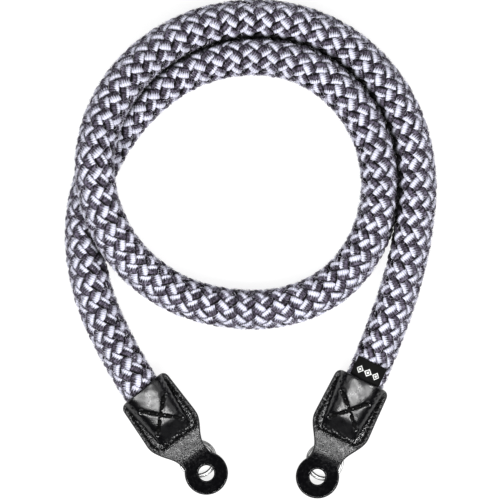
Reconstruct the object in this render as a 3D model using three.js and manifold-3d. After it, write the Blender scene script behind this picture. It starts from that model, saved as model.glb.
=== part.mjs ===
// Braided camera strap, lying coiled on a flat surface: a round braided rope that makes one and a half
// turns, with a leather end on each side. A leather end is a front and a back leather sewn together
// over the rope's end; the front one runs on as a neck and a ring-guard disc, the back one folds round
// a steel split ring. Millimetres, +Z up, origin at the middle of the strap on the surface it lies on.

import * as THREE from "three";
import { mergeVertices } from "three/addons/utils/BufferGeometryUtils.js";
import Module from "manifold-3d";

const wasm = await Module();
wasm.setup();

const { smoothstep, degToRad } = THREE.MathUtils;

// ---------------------------------------------------------------- driving dimensions

// Gap kept between pieces that touch on the real strap.
const GAP = 0.3;

// Braided rope: its pressed radius, the number of sides of its section and of steps along it.
const ROPE_RADIUS = 8.9;
const ROPE_SIDES = 12;
const ROPE_STEPS = 80;

// The rope's centreline from the left pocket to the right one, as x, y, z. It goes up the left side,
// under the later turn, round once clockwise, over itself in a long low hump and round the outside.
const ROPE_ROUTE = [
  [-40, -86.5, 7.5],
  [-52.5, -69.5, 10.5],
  [-66, -46.5, 9.3],
  [-76.5, -22.5, 8.7],
  [-81.5, 3.5, 8.7],
  [-78.5, 30, 8.7],
  [-67, 54.5, 8.7],
  [-50, 75, 8.7],
  [-28, 89.5, 8.7],
  [-2.5, 95, 10],
  [23.5, 91.5, 11.5],
  [45.5, 77, 12.5],
  [59.5, 54.5, 11.5],
  [63.5, 28.5, 9.2],
  [56.5, 3, 8.7],
  [40, -17, 8.7],
  [16, -28, 8.7],
  [-10.5, -29, 8.7],
  [-36, -22, 9.5],
  [-57.5, -6.5, 15],
  [-71.5, 15.5, 24.3],
  [-76.5, 41.5, 27.4],
  [-71.5, 67, 24.2],
  [-57, 89.5, 19.3],
  [-35.5, 105, 14.4],
  [-10, 112.8, 9.8],
  [16.5, 112.2, 8.7],
  [41.5, 102.8, 8.7],
  [62, 85.7, 8.7],
  [75.7, 63, 8.7],
  [81.8, 37, 8.7],
  [80.3, 10.5, 8.7],
  [74.5, -15.5, 8.7],
  [66, -40.5, 9.3],
  [55.5, -65, 10.5],
  [46, -84, 7.5],
];

// The two leather ends. Each has a frame of its own: the origin under the middle of the disc, +X from
// the disc towards the rope, turned by angle. The patch's axis runs beside the disc's, lean to its left.
const ENDS = {
  left: { x: -21.7, y: -110, angle: 126, lean: 1 },
  right: { x: 32.9, y: -111.8, angle: 64.2, lean: 0.35 },
};

// Leather, front to back.
const FRONT_THICKNESS = 2;
const BACK_THICKNESS = 1.8;

// Outline of a leather end, along its axis from the middle of the disc.
const DISC_RADIUS = 10.65;
const DISC_HOLE_RADIUS = 4;
const DISC_SEGMENTS = 40;
const NECK_START = 4.6;
const NECK_HALF_WIDTH = 7.7;
const NECK_END = 11;
const SHOULDER = 27.5;
const PATCH_HALF_WIDTH = 14.7;
const PATCH_TAPER_START = 30;
const PATCH_TAPER = 0.035;
const PATCH_TOP = 51.5;
const CORNER_RADIUS = 3;
const LEAN_START = 6;
const LEAN_END = 20;

// Height of the plane between the front and the back leather: low at the disc, a step up over the ring
// loop, then a long rise to the middle of the rope.
const DISC_PLANE = 3.85;
const LOOP_RISE = 1.95;
const LOOP_RISE_START = 8.5;
const LOOP_RISE_END = 13;
const ROPE_RISE = 4.75;
const ROPE_RISE_START = 16;
const ROPE_RISE_END = 50;

// Pocket for the rope's end: half its height at the mouth, half its width at the toe and at the mouth.
const POCKET_TOE = 21;
const POCKET_HALF_HEIGHT = 8.5;
const POCKET_TOE_HALF_WIDTH = 8;
const POCKET_MOUTH_HALF_WIDTH = 12;

// Split ring, and the loop of the back leather that holds it.
const RING_RADIUS = 9.1;
const RING_BAND = 2.2;
const RING_HEIGHT = 2.3;
const RING_CENTRE = 7.9;
const RING_LIFT = 1.7;
const LOOP_HALF_WIDTH = 3.6;
const LOOP_EYE_START = 13.2;
const LOOP_EYE_END = 17.4;
const LOOP_EYE_BOTTOM = 1.05;
const LOOP_EYE_TOP = 4.35;
const LOOP_EYE_CHAMFER = 0.35;
const LOOP_WALL = 1.15;
const LOOP_ROOT = 21;
const BACK_START = 19;

// Woven label, lying round the top of the rope against the right leather's edge.
const LABEL_RADIUS = 9.4;
const LABEL_THICKNESS = 0.8;
const LABEL_WIDTH = 14.2;
const LABEL_LENGTH = 9;
const LABEL_AXIS_HEIGHT = 10.35;

// ---------------------------------------------------------------- materials

const braid = new THREE.MeshStandardMaterial({ color: 0x8d8b9a, roughness: 0.85 });
const leather = new THREE.MeshStandardMaterial({ color: 0x17181a, roughness: 0.35 });
const steel = new THREE.MeshStandardMaterial({ color: 0xc9cacc, roughness: 0.22, metalness: 1 });
const ribbon = new THREE.MeshStandardMaterial({ color: 0x101012, roughness: 0.8 });

// ---------------------------------------------------------------- solids

// A closed geometry as a manifold-3d solid.
function toSolid(geometry) {
  const bare = geometry.clone();
  bare.deleteAttribute("normal");
  bare.deleteAttribute("uv");
  const merged = mergeVertices(bare, 1e-4);
  const mesh = new wasm.Mesh({
    numProp: 3,
    vertProperties: new Float32Array(merged.attributes.position.array),
    triVerts: new Uint32Array(merged.index.array),
  });
  return new wasm.Manifold(mesh);
}

// Two closed geometries joined into one.
function join(first, second) {
  const mesh = toSolid(first).add(toSolid(second)).getMesh();
  const geometry = new THREE.BufferGeometry();
  geometry.setAttribute("position", new THREE.BufferAttribute(mesh.vertProperties, 3));
  geometry.setIndex(new THREE.BufferAttribute(mesh.triVerts, 1));
  return geometry;
}

// A closed plate between two surfaces over a grid: rows along the axis, columns across it. Each row is
// { s, centre, halfWidth }, and top(s, t) and bottom(s, t) give heights for t from -1 to 1 across.
function plate(rows, columns, top, bottom) {
  const position = [];
  const index = [];
  const across = columns + 1;
  for (const surface of [top, bottom]) {
    for (const { s, centre, halfWidth } of rows) {
      for (let column = 0; column < across; column++) {
        const t = (2 * column) / columns - 1;
        position.push(s, centre + t * halfWidth, surface(s, t * halfWidth));
      }
    }
  }
  const layer = rows.length * across;
  const quad = (a, b, c, d) => index.push(a, b, c, a, c, d);
  for (let row = 0; row + 1 < rows.length; row++) {
    for (let column = 0; column < columns; column++) {
      const a = row * across + column;
      quad(a, a + across, a + across + 1, a + 1);
      quad(layer + a, layer + a + 1, layer + a + across + 1, layer + a + across);
    }
    const right = row * across;
    const left = right + columns;
    quad(right, layer + right, layer + right + across, right + across);
    quad(left, left + across, layer + left + across, layer + left);
  }
  const last = (rows.length - 1) * across;
  for (let column = 0; column < columns; column++) {
    quad(column, column + 1, layer + column + 1, layer + column);
    quad(last + column, layer + last + column, layer + last + column + 1, last + column + 1);
  }
  const geometry = new THREE.BufferGeometry();
  geometry.setAttribute("position", new THREE.Float32BufferAttribute(position, 3));
  geometry.setIndex(index);
  return geometry;
}

// ---------------------------------------------------------------- leather ends

// Height of the plane between the two leathers.
function seamPlane(s) {
  const overLoop = LOOP_RISE * smoothstep(s, LOOP_RISE_START, LOOP_RISE_END);
  const toRope = ROPE_RISE * smoothstep(s, ROPE_RISE_START, ROPE_RISE_END);
  return DISC_PLANE + overLoop + toRope;
}

// How far along the pocket a place lies, from 0 at its toe to 1 at its mouth.
function pocketShare(s) {
  return THREE.MathUtils.clamp((s - POCKET_TOE) / (PATCH_TOP - POCKET_TOE), 0, 1);
}

// Half the pocket's height on its axis.
function pocketHalfHeight(s) {
  return POCKET_HALF_HEIGHT * Math.sin((pocketShare(s) * Math.PI) / 2) ** 1.3;
}

function pocketHalfWidth(s) {
  const growth = pocketShare(s) ** 0.6;
  return THREE.MathUtils.lerp(POCKET_TOE_HALF_WIDTH, POCKET_MOUTH_HALF_WIDTH, growth);
}

// How far the leather stands off the seam plane, v to the side of the axis.
function bulge(s, v) {
  const x = Math.min(1, Math.abs(v) / pocketHalfWidth(s));
  return pocketHalfHeight(s) * (1 - x ** 3) ** 1.5;
}

function outlineHalfWidth(s) {
  const spread = PATCH_HALF_WIDTH - NECK_HALF_WIDTH;
  const straight =
    NECK_HALF_WIDTH +
    spread * smoothstep(s, NECK_END, SHOULDER) -
    PATCH_TAPER * Math.max(0, s - PATCH_TAPER_START);
  const intoCorner = Math.max(0, s - (PATCH_TOP - CORNER_RADIUS));
  const rounded = Math.sqrt(CORNER_RADIUS ** 2 - intoCorner ** 2);
  return straight - CORNER_RADIUS + rounded;
}

// Grid rows from start to the patch's top edge, closer together round the corners.
function outlineRows(start, lean) {
  const cornerStart = PATCH_TOP - CORNER_RADIUS;
  const straightRows = Math.round((cornerStart - start) / 2.2);
  const cornerRows = 4;
  const stations = [];
  for (let i = 0; i <= straightRows; i++) {
    stations.push(start + ((cornerStart - start) * i) / straightRows);
  }
  for (let i = 1; i <= cornerRows; i++) {
    stations.push(cornerStart + CORNER_RADIUS * Math.sin((i * Math.PI) / (2 * cornerRows)));
  }
  return stations.map((s) => ({
    s,
    centre: lean * smoothstep(s, LEAN_START, LEAN_END),
    halfWidth: outlineHalfWidth(s),
  }));
}

const PATCH_COLUMNS = 14;

// A flat ring about +Z, from height bottom up, with its centre at (x, 0).
function flatRing(innerRadius, outerRadius, bottom, height, segments) {
  const profile = [
    new THREE.Vector2(innerRadius, bottom),
    new THREE.Vector2(outerRadius, bottom),
    new THREE.Vector2(outerRadius, bottom + height),
    new THREE.Vector2(innerRadius, bottom + height),
    new THREE.Vector2(innerRadius, bottom),
  ];
  return new THREE.LatheGeometry(profile, segments).rotateX(Math.PI / 2);
}

// Patch, neck and disc, cut from one leather.
function frontLeather(lean) {
  const under = (s, v) => seamPlane(s) + GAP / 2 + bulge(s, v);
  const over = (s, v) => under(s, v) + FRONT_THICKNESS;
  const patch = plate(outlineRows(NECK_START, lean), PATCH_COLUMNS, over, under);
  const discBottom = DISC_PLANE + GAP / 2;
  const disc = flatRing(DISC_HOLE_RADIUS, DISC_RADIUS, discBottom, FRONT_THICKNESS, DISC_SEGMENTS);
  return join(patch, disc);
}

// The folded strip round the split ring, seen from the side: an eye with a tail under the patch.
function ringLoop() {
  const outerStart = LOOP_EYE_START - LOOP_WALL;
  const outerTop = LOOP_EYE_TOP + LOOP_WALL;
  const fold = outerTop / 2;
  const shape = new THREE.Shape();
  shape.moveTo(LOOP_ROOT, outerTop);
  shape.lineTo(outerStart + fold, outerTop);
  shape.absarc(outerStart + fold, fold, fold, Math.PI / 2, (3 * Math.PI) / 2, false);
  shape.lineTo(LOOP_EYE_END, 0);
  shape.lineTo(LOOP_ROOT, outerTop - BACK_THICKNESS);
  const eye = new THREE.Path();
  eye.moveTo(LOOP_EYE_START + LOOP_EYE_CHAMFER, LOOP_EYE_BOTTOM);
  eye.lineTo(LOOP_EYE_END, LOOP_EYE_BOTTOM);
  eye.lineTo(LOOP_EYE_END, LOOP_EYE_TOP);
  eye.lineTo(LOOP_EYE_START + LOOP_EYE_CHAMFER, LOOP_EYE_TOP);
  eye.lineTo(LOOP_EYE_START, LOOP_EYE_TOP - LOOP_EYE_CHAMFER);
  eye.lineTo(LOOP_EYE_START, LOOP_EYE_BOTTOM + LOOP_EYE_CHAMFER);
  shape.holes.push(eye);
  const options = { depth: 2 * LOOP_HALF_WIDTH, bevelEnabled: false, curveSegments: 8 };
  return new THREE.ExtrudeGeometry(shape, options)
    .rotateX(Math.PI / 2)
    .translate(0, LOOP_HALF_WIDTH, 0);
}

// The back patch, with the loop that goes on from it.
function backLeather(lean) {
  const over = (s, v) => seamPlane(s) - GAP / 2 - bulge(s, v);
  const under = (s, v) => over(s, v) - BACK_THICKNESS;
  const patch = plate(outlineRows(BACK_START, lean), PATCH_COLUMNS, over, under);
  return join(patch, ringLoop());
}

// The split ring lies under the disc, its near side lifted by the loop it passes through.
function splitRing() {
  const inner = RING_RADIUS - RING_BAND;
  const ring = flatRing(inner, RING_RADIUS, 0, RING_HEIGHT, 36);
  const tilt = Math.asin(RING_LIFT / (2 * RING_RADIUS));
  return ring.rotateY(-tilt).translate(RING_CENTRE, 0, RING_LIFT / 2);
}

// A strip bent round the rope's top, along the axis from start.
function wovenLabel(start, centre) {
  const halfAngle = LABEL_WIDTH / 2 / (LABEL_RADIUS + LABEL_THICKNESS);
  const up = Math.PI / 2;
  const shape = new THREE.Shape();
  shape.absarc(0, 0, LABEL_RADIUS + LABEL_THICKNESS, up - halfAngle, up + halfAngle, false);
  shape.absarc(0, 0, LABEL_RADIUS, up + halfAngle, up - halfAngle, true);
  const options = { depth: LABEL_LENGTH, bevelEnabled: false, curveSegments: 10 };
  return new THREE.ExtrudeGeometry(shape, options)
    .rotateX(Math.PI / 2)
    .rotateZ(Math.PI / 2)
    .translate(start, centre, LABEL_AXIS_HEIGHT);
}

// ---------------------------------------------------------------- rope

// Presses a point of the rope that lies inside an end's pocket to the pocket's height and width. The
// point is in that end's frame.
function pressIntoPocket(point, lean) {
  const blendEnd = PATCH_TOP + ROPE_RADIUS;
  if (point.x > blendEnd || Math.abs(point.y) > PATCH_HALF_WIDTH) return;
  const pressed = (pocketHalfHeight(point.x) - 2 * GAP) / ROPE_RADIUS;
  const drawn = pocketHalfWidth(point.x) / POCKET_MOUTH_HALF_WIDTH;
  const free = smoothstep(point.x, PATCH_TOP, blendEnd);
  const heightScale = THREE.MathUtils.lerp(pressed, 1, free);
  const plane = seamPlane(point.x);
  point.z = plane + (point.z - plane) * heightScale;
  point.y = lean + (point.y - lean) * drawn;
}

function ropeGeometry(ends) {
  const points = ROPE_ROUTE.map(([x, y, z]) => new THREE.Vector3(x, y, z));
  const path = new THREE.CatmullRomCurve3(points);
  const corner = (i) => {
    const angle = ((i + 0.5) * 2 * Math.PI) / ROPE_SIDES;
    return new THREE.Vector2(Math.cos(angle), Math.sin(angle)).multiplyScalar(ROPE_RADIUS);
  };
  const section = new THREE.Shape(Array.from({ length: ROPE_SIDES }, (_, i) => corner(i)));
  const options = { steps: ROPE_STEPS, extrudePath: path, bevelEnabled: false };
  const geometry = new THREE.ExtrudeGeometry(section, options);
  const vertices = geometry.attributes.position;
  const point = new THREE.Vector3();
  for (let i = 0; i < vertices.count; i++) {
    for (const end of ends) {
      point.fromBufferAttribute(vertices, i);
      end.worldToLocal(point);
      pressIntoPocket(point, ENDS[end.name].lean);
      end.localToWorld(point);
      vertices.setXYZ(i, point.x, point.y, point.z);
    }
  }
  return geometry;
}

// ---------------------------------------------------------------- assembly

function named(name, geometry, material) {
  const mesh = new THREE.Mesh(geometry, material);
  mesh.name = name;
  return mesh;
}

const strap = new THREE.Group();
const ends = [];
for (const [side, { x, y, angle, lean }] of Object.entries(ENDS)) {
  const end = new THREE.Group();
  end.name = side;
  end.position.set(x, y, 0);
  end.rotation.z = degToRad(angle);
  end.add(named(side + "_front_leather", frontLeather(lean), leather));
  end.add(named(side + "_back_leather", backLeather(lean), leather));
  end.add(named(side + "_split_ring", splitRing(), steel));
  strap.add(end);
  ends.push(end);
}
strap.updateMatrixWorld(true);

const label = wovenLabel(PATCH_TOP + GAP, ENDS.right.lean);
ends[1].add(named("woven_label", label, ribbon));
strap.add(named("braided_rope", ropeGeometry(ends), braid));

export default strap;
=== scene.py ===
"""Braided camera strap, lying coiled on a pale floor: the looks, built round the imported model.

Shapes are worked out in millimetres, in the model's frame, and scaled to metres as each mesh is made.
"""

import math

import bpy
import numpy as np
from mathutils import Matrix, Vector
from mathutils.geometry import delaunay_2d_cdt


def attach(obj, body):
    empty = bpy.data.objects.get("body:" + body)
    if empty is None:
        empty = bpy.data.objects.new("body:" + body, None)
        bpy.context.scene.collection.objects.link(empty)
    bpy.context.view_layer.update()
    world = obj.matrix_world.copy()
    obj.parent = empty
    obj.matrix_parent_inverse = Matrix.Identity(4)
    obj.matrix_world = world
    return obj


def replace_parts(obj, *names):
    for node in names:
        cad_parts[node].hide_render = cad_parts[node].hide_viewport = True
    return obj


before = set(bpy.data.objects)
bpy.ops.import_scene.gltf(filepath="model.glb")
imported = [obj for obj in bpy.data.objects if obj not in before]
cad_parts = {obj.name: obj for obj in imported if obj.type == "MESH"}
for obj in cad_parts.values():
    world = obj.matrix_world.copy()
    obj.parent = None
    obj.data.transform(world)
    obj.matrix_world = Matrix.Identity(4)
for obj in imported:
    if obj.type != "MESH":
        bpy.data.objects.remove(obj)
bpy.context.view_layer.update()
scene = bpy.context.scene

MM = 0.001
TURN = 2 * math.pi
rng = np.random.default_rng(16)

# -------- dimensions, in millimetres

# The rope's centreline from the left pocket to the right one.
ROPE_ROUTE = [
    [-40, -86.5, 7.5], [-52.8, -69.8, 10.5], [-66.4, -46.8, 9.3], [-76.9, -22.7, 8.7],
    [-81.5, 3.5, 8.7], [-78.5, 30, 8.7], [-67, 54.5, 8.7], [-49.8, 74.7, 8.7],
    [-27.9, 89.2, 8.7], [-2.5, 95, 10], [23.5, 91.5, 11.5], [45.5, 77, 12.5],
    [60, 54.6, 11.5], [63.9, 28.4, 9.2], [57.1, 2.6, 8.7], [40.5, -17.7, 8.7],
    [16.1, -28.4, 8.7], [-10.5, -29, 8.7], [-36, -22, 9.5], [-57.5, -6.5, 15],
    [-71.5, 15.5, 24.3], [-76.5, 41.5, 27.4], [-71, 66.6, 24.2], [-56.3, 88.7, 19.3],
    [-35.1, 104.2, 14.4], [-9.8, 112.2, 9.8], [16.4, 111.8, 8.7], [41.5, 102.8, 8.7],
    [62, 85.7, 8.7], [75.7, 63, 8.7], [81.5, 37, 8.7], [80, 10.4, 8.7],
    [74.5, -15.5, 8.7], [66, -40.5, 9.3], [55.8, -65.1, 10.5], [46, -84, 7.5],
]
ROPE_RADIUS = 9.65  # to the crown of a yarn where nothing presses the rope

# The braid: CARRIERS strands turn each way, and each passes over one and under one.
CARRIERS = 8
ROW = 4.6  # along the rope, from one row of crossings to the next
STRAND_WIDTH = 5.9
STRAND_THICKNESS = 2.2
STRAND_SWING = 0.95  # a strand's middle lies this far outside or inside the braid's own radius
BRAID_RADIUS = ROPE_RADIUS - STRAND_SWING - STRAND_THICKNESS / 2
CORE_RADIUS = BRAID_RADIUS - 1.1
FLOOR_GAP = 0.03  # between the floor and the rope
PASSES_PRESS = 0.3  # two passes of the rope press their fibres into each other and get painted shade where they are nearer than this to the plane between them
CREVICE = 2.7  # and look dark where they are nearer than this to the plane between them

# Loose fibres that stand off the braid.
FUZZ_FIBRES = 17000
FUZZ_THICKNESS = 0.15
FUZZ_LIFT = 0.8

# Leather ends: where each stands and how it is turned, as in the model; the side towards the other end;
# how far its mouth is moved on and skewed; how much fuller its shoulders are; and where its ring lies.
ENDS = {
    "left": dict(
        x=-21.7, y=-110, angle=126, lean=1, inner=-1,
        mouth_on=0.5, mouth_skew=-0.075, fuller=(0.8, 0), ring_side=-0.7,
    ),
    "right": dict(
        x=32.9, y=-111.8, angle=64.2, lean=0.35, inner=1,
        mouth_on=1.1, mouth_skew=0, fuller=(0, 0.5), ring_side=0.1,
    ),
}
GAP = 0.3
FRONT_THICKNESS = 2
BACK_THICKNESS = 1.8
DISC_RADIUS = 10.65
DISC_HOLE_RADIUS = 3.85
NECK_HALF_WIDTH = 7.7
NECK_END = 11
SHOULDER = 27.5
PATCH_HALF_WIDTH = 14.7
PATCH_TAPER_START = 30
PATCH_TAPER = 0.035
PATCH_TOP = 51.5
CORNER_RADIUS = 3
LEAN_START = 6
LEAN_END = 20
DISC_PLANE = 3.85
NECK_RISE_START = 10.9
NECK_SLOPE = 0.33
PATCH_RISE_START = 14.6
PATCH_SLOPE = 0.14
PATCH_RISE_END = 50
POCKET_TOE = 21
POCKET_HALF_HEIGHT = 8.5
POCKET_TOE_HALF_WIDTH = 8
POCKET_MOUTH_HALF_WIDTH = 12
BACK_START = 19

# Sewing: a row round each patch and across its neck, and a cross through the rope.
SEAM_INSET = 2.1
SEAM_ACROSS = 21.9
SEAM_TOP = 49.3
SEAM_PITCH = 2.7
SEAM_THREAD = 0.6
SEAM_FILL = 0.8
CROSS_CENTRE = 36.4
CROSS_HALF = 6.9
CROSS_PITCH = 3.9
CROSS_THREAD = 1.0
CROSS_FILL = 0.78

# Split rings and the leather loops that hold them.
RING_RADIUS = 9.4
RING_BAND = 2.2
RING_HEIGHT = 2.3
RING_CENTRE = 8.2
RING_LIFT = 1.7
RING_TURNS = 1.96
RING_STEP = 0.35  # how far the lower turn stands out past the middle, and the upper one in
LOOP_HALF_WIDTH = 3.6
LOOP_EYE_START = 13.2
LOOP_EYE_END = 17.4
LOOP_TOP = 5.5
LOOP_WALL = 1.15
LOOP_ROOT = 21

# Woven label, on top of the rope. Its width is from side to side as seen from above.
LABEL_RADIUS = 9.8
LABEL_THICKNESS = 0.5
LABEL_WIDTH = 15.4
LABEL_LENGTH = 11.3
LABEL_SIDE = 0.1


# -------- small tools


def smoothstep(x, low, high):
    t = np.clip((x - low) / (high - low), 0, 1)
    return t * t * (3 - 2 * t)


def soft_ramp(x, width):
    """Nearly 0 below 0 and nearly x above it."""
    return width * np.logaddexp(0, x / width)


def bell(x, reach):
    return np.exp(-((x / reach) ** 2))


def lerp(a, b, t):
    return a + (b - a) * t


def unit(v):
    return v / np.linalg.norm(v, axis=-1, keepdims=True)


def stacked(*parts):
    """Arrays of one shape, as the last axis of one array: x, y and z as points, for one."""
    return np.stack(parts, axis=-1)


def lengths_along(line):
    return np.concatenate([[0], np.cumsum(np.linalg.norm(np.diff(line, axis=0), axis=1))])


def at_lengths(line, along, at):
    """The line's points at these lengths, when along has the lengths of its own points."""
    return stacked(*(np.interp(at, along, column) for column in line.T))


def respaced(line, step):
    """The line again, with points evenly spaced, about step apart."""
    along = lengths_along(line)
    return at_lengths(line, along, np.linspace(0, along[-1], round(along[-1] / step) + 1))


def averaged(padded, reach, width):
    """The line averaged under a bell that reaches so many points. It loses width points at each end."""
    weights = np.exp(-0.5 * (np.arange(-width, width + 1) / reach) ** 2)
    weights /= weights.sum()
    return stacked(*(np.convolve(column, weights, "valid") for column in padded.T))


def softened(line, reach):
    """The line averaged under a bell, its ends kept in place."""
    width = 3 * reach
    before = 2 * line[0] - line[width:0:-1]
    after = 2 * line[-1] - line[-2 : -width - 2 : -1]
    return averaged(np.vstack([before, line, after]), reach, width)


def circle(angle):
    return stacked(np.cos(angle), np.sin(angle))


def wander(s, wavelength):
    """A slow smooth wander along s, from about -1 to 1, new at each call."""
    total = 0
    for share in (1, 0.43, 0.19):
        total = total + share**0.5 * np.sin(TURN * (s / (wavelength * share) + rng.random()))
    return total / 2


def put_in_scene(name, data):
    made = bpy.data.objects.new(name, data)
    scene.collection.objects.link(made)
    return made


class Body:
    """Closed bodies in millimetres, collected into one mesh."""

    def __init__(self):
        self.points, self.faces, self.uv = [], [], []
        self.count = 0

    def add(self, points, faces, uv=None):
        self.points.append(np.asarray(points, float))
        self.faces += [[i + self.count for i in face] for face in faces]
        self.uv.append(uv)
        self.count += len(points)

    def loft(self, rings, uv=None):
        """A closed body through rings of equally many points."""
        count, around = rings.shape[:2]
        here = np.arange(around)
        after = np.roll(here, -1)
        start = np.arange(count - 1)[:, None] * around
        quads = stacked(start + here, start + after, start + around + after, start + around + here)
        last = (count - 1) * around
        caps = [list(range(around))[::-1], [last + i for i in range(around)]]
        self.add(rings.reshape(-1, 3), quads.reshape(-1, 4).tolist() + caps, uv)

    def build(self, name, look, slot):
        mesh = bpy.data.meshes.new(name)
        mesh.from_pydata((np.vstack(self.points) * MM).tolist(), [], self.faces)
        mesh.shade_smooth()
        for layer in self.uv[0] or {}:
            corners = np.vstack([uv[layer] for uv in self.uv])
            mesh.uv_layers.new(name=layer).data.foreach_set("uv", corners.astype(np.float32).ravel())
        mesh.materials.append(look.material)
        piece = put_in_scene(name, mesh)
        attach(piece, "root")
        return piece


# -------- leather shapes, in an end's frame


def seam_plane(s):
    """The height where front and back meet: flat under the disc, rising over the ring's loop, then
    along the rope."""
    up = NECK_SLOPE * soft_ramp(s - NECK_RISE_START, 2.2)
    ease = (PATCH_SLOPE - NECK_SLOPE) * soft_ramp(s - PATCH_RISE_START, 0.8)
    return DISC_PLANE + up + ease - PATCH_SLOPE * soft_ramp(s - PATCH_RISE_END, 0.9)


def pocket_share(s):
    return np.clip((s - POCKET_TOE) / (PATCH_TOP - POCKET_TOE), 0, 1)


def pocket_half_height(s):
    return POCKET_HALF_HEIGHT * np.sin(pocket_share(s) * math.pi / 2) ** 1.3


def pocket_rise(s):
    """How far the front bulges at its middle: quickly from the toe, then a gentle slope to the mouth."""
    share = pocket_share(s)
    return POCKET_HALF_HEIGHT * (0.57 * smoothstep(share, 0, 0.4) + 0.43 * share)


def pocket_half_width(s):
    return lerp(POCKET_TOE_HALF_WIDTH, POCKET_MOUTH_HALF_WIDTH, pocket_share(s) ** 0.6)


def bulge(s, v):
    x = np.minimum(1, np.abs(v) / pocket_half_width(s))
    return pocket_half_height(s) * (1 - x**3) ** 1.5


def outline_half_width(s):
    spread = PATCH_HALF_WIDTH - NECK_HALF_WIDTH
    straight = (
        NECK_HALF_WIDTH
        + spread * smoothstep(s, NECK_END, SHOULDER)
        - PATCH_TAPER * np.maximum(0, s - PATCH_TAPER_START)
    )
    into_corner = np.clip(s - (PATCH_TOP - CORNER_RADIUS), 0, CORNER_RADIUS)
    return straight - CORNER_RADIUS + np.sqrt(CORNER_RADIUS**2 - into_corner**2)


def centre_line(s, lean):
    return lean * smoothstep(s, LEAN_START, LEAN_END)


def to_world(points, end):
    """Points of an end's own frame, in the model's frame."""
    cos, sin = circle(math.radians(end["angle"]))
    s, v, z = np.moveaxis(points, -1, 0)
    return stacked(end["x"] + s * cos - v * sin, end["y"] + s * sin + v * cos, z)


def to_end(points, end):
    cos, sin = circle(math.radians(end["angle"]))
    x, y, z = np.moveaxis(points - [end["x"], end["y"], 0], -1, 0)
    return stacked(x * cos + y * sin, y * cos - x * sin, z)


# -------- rope


def catmull_rom(points, steps):
    """The centripetal Catmull-Rom curve through the points."""
    padded = np.vstack([2 * points[0] - points[1], points, 2 * points[-1] - points[-2]])
    t = np.linspace(0, 1, steps, endpoint=False)[:, None]
    curve = []
    for p0, p1, p2, p3 in zip(padded, padded[1:], padded[2:], padded[3:]):
        d0, d1, d2 = (np.linalg.norm(b - a) ** 0.5 for a, b in ((p0, p1), (p1, p2), (p2, p3)))
        t1 = ((p1 - p0) / d0 - (p2 - p0) / (d0 + d1) + (p2 - p1) / d1) * d1
        t2 = ((p2 - p1) / d1 - (p3 - p1) / (d1 + d2) + (p3 - p2) / d2) * d1
        cubic = (2 * p1 - 2 * p2 + t1 + t2) * t**3
        curve.append(p1 + t1 * t + (3 * p2 - 3 * p1 - 2 * t1 - t2) * t**2 + cubic)
    return np.vstack([*curve, points[-1:]])


class Rope:
    """The rope's centreline with a frame along it, and how its section gives way to what it touches."""

    STEP = 0.5
    OTHER_PASS = 60  # what is further along than this belongs to another pass of the rope
    CLEAR_OF_FLOOR = 0.12
    ANGLES = np.radians(np.arange(0, 360, 5))

    def __init__(self):
        line = respaced(catmull_rom(np.array(ROPE_ROUTE, float), 60), self.STEP)
        line = respaced(softened(line, 9), self.STEP)
        self.spots = line
        self.at = lengths_along(line)
        self.length = self.at[-1]
        self.forward = unit(np.gradient(line, axis=0))
        self.left = unit(np.cross([0, 0, 1], self.forward))
        self.up = np.cross(self.forward, self.left)
        self.give, self.open = self.room_tables()

    def room_tables(self):
        """For each direction at each spot: the share of its free radius that it has, and how open it is,
        from 0 where another pass of the rope touches to 1."""
        every = 2
        spots = self.spots[::every]
        rays = (
            np.cos(self.ANGLES)[:, None] * self.left[::every, None]
            + np.sin(self.ANGLES)[:, None] * self.up[::every, None]
        )
        index = np.arange(len(spots))
        beyond = round(self.OTHER_PASS / (self.STEP * every))
        table, clear = np.ones((2, *rays.shape[:2]))
        for i, spot in enumerate(spots):
            down = np.minimum(rays[i, :, 2], -1e-6)
            room = (spot[2] - self.CLEAR_OF_FLOOR) / -down
            away = spots[np.abs(index - i) > beyond] - spot
            near = away[(away**2).sum(1) < (3 * ROPE_RADIUS) ** 2]
            if len(near):
                reach = np.maximum(near @ rays[i].T, 1e-6)
                halfway = (near**2).sum(1)[:, None] / (2 * reach)
                room = np.minimum(room, halfway.min(0) + PASSES_PRESS)
                # how open the spot is; the yarn's colour paints shade where this is low
                clear[i] = np.clip((halfway.min(0) - ROPE_RADIUS) / CREVICE, 0, 1)
            table[i] = np.minimum(1, room / ROPE_RADIUS)
        for _ in range(2):
            table = (np.roll(table, 1, 1) + 2 * table + np.roll(table, -1, 1)) / 4
            table[1:-1] = (table[:-2] + 2 * table[1:-1] + table[2:]) / 4
        return table, clear

    def sample(self, table, s, angle):
        row = s / self.length * (len(table) - 1)
        column = np.mod(angle, TURN) / TURN * len(self.ANGLES)
        r0 = np.minimum(row.astype(int), len(table) - 2)
        c0 = column.astype(int) % len(self.ANGLES)
        c1 = (c0 + 1) % len(self.ANGLES)
        down, across = row - r0, column - column.astype(int)
        above = lerp(table[r0, c0], table[r0, c1], across)
        return lerp(above, lerp(table[r0 + 1, c0], table[r0 + 1, c1], across), down)

    def place(self, s, angle, radius):
        """Points on the rope, from the length along it, the angle round it and the radius when free."""
        s = np.clip(s, 0, self.length)
        centre, left, up = (at_lengths(table, self.at, s) for table in (self.spots, self.left, self.up))
        reach = (radius * self.sample(self.give, s, angle))[..., None]
        points = centre + reach * (np.cos(angle)[..., None] * left + np.sin(angle)[..., None] * up)
        for end in ENDS.values():
            points = press_into_pocket(points, end)
        points[..., 2] = np.maximum(points[..., 2], FLOOR_GAP)
        return points


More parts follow.
